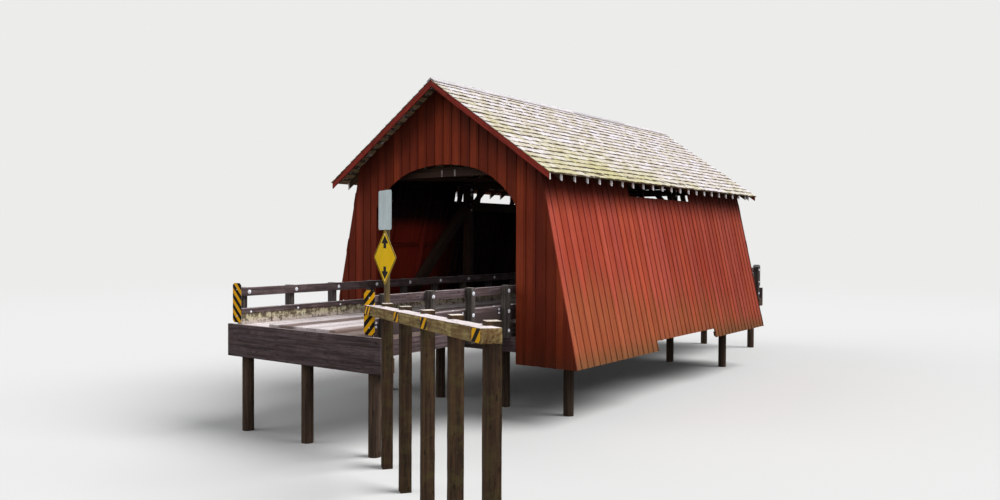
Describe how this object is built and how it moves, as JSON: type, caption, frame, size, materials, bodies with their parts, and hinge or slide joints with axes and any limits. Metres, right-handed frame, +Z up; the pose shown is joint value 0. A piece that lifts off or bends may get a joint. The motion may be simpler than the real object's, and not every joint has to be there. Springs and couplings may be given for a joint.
{
  "type": "covered timber bridge",
  "caption": "Covered timber bridge with a flared boarded housing, arched portals, shingled gable roof, queen post trusses, railed approach spans, a guard rail and a sign post.",
  "frame": {"origin": "middle of the roadway surface at mid-span, on the top of the running planks", "axes": "+X across the bridge to the right of the near portal, +Y along the bridge from the near portal to the far one, +Z up"},
  "size_m": [12.4531, 26.7236, 8.4736],
  "materials": {
    "portal_siding": "vertical boards with a weathered maroon stain",
    "side_siding": "vertical boards with a sun-faded brick red stain",
    "barge_paint": "brownish red painted trim board",
    "framing": "rough sawn framing, darkened with age",
    "roof_shingles": "sun-bleached split shingles with moss towards the eaves",
    "rafter_timber": "rough sawn boards, pale cut ends",
    "dark_timber": "creosoted timber, brown black",
    "deck_timber": "worn grey beige planks",
    "curb_paint": "old off-white paint with moss",
    "pile_timber": "round timber piles",
    "guard_timber": "weathered olive brown timber",
    "guard_post_timber": "dark treated posts",
    "sign_timber": "grey tan post",
    "hazard_sheet": "black and amber diagonal bands",
    "white_sheet": "plain off-white sheet",
    "yellow_sheet": "amber sheet with a black border and arrows"
  },
  "bodies": {
    "root": {"near_portal_wall": "portal_siding", "far_portal_wall": "portal_siding", "right_side_wall": "side_siding", "left_side_wall": "side_siding", "near_portal_frame": "framing", "far_portal_frame": "framing", "wall_studs": "framing", "wall_girts": "framing", "wall_plates": "framing", "right_roof_shingles": "roof_shingles", "left_roof_shingles": "roof_shingles", "right_roof_boards": "rafter_timber", "left_roof_boards": "rafter_timber", "right_rafters": "rafter_timber", "left_rafters": "rafter_timber", "ridge_board": "rafter_timber", "ridge_cap": "roof_shingles", "barge_boards": "barge_paint", "truss_bottom_chords": "framing", "truss_end_braces": "framing", "truss_queen_posts": "framing", "truss_straining_beams": "framing", "tie_beams": "framing", "knee_braces": "framing", "overhead_braces": "framing", "floor_beams": "framing", "floor_stringers": "dark_timber", "approach_stringers": "dark_timber", "deck": "deck_timber", "running_planks": "deck_timber", "curbs": "curb_paint", "curb_caps": "dark_timber", "right_rail": "dark_timber", "left_rail": "dark_timber", "rail_posts": "dark_timber", "pier_caps": "pile_timber", "piles": "pile_timber", "end_planks": "dark_timber", "hazard_panels": "hazard_sheet", "guard_rail_posts": "guard_post_timber", "guard_rail_beam": "guard_timber", "sign_post": "sign_timber", "weight_sign_plate": "white_sheet", "height_sign_plate": "yellow_sheet"}
  },
  "joints": []
}
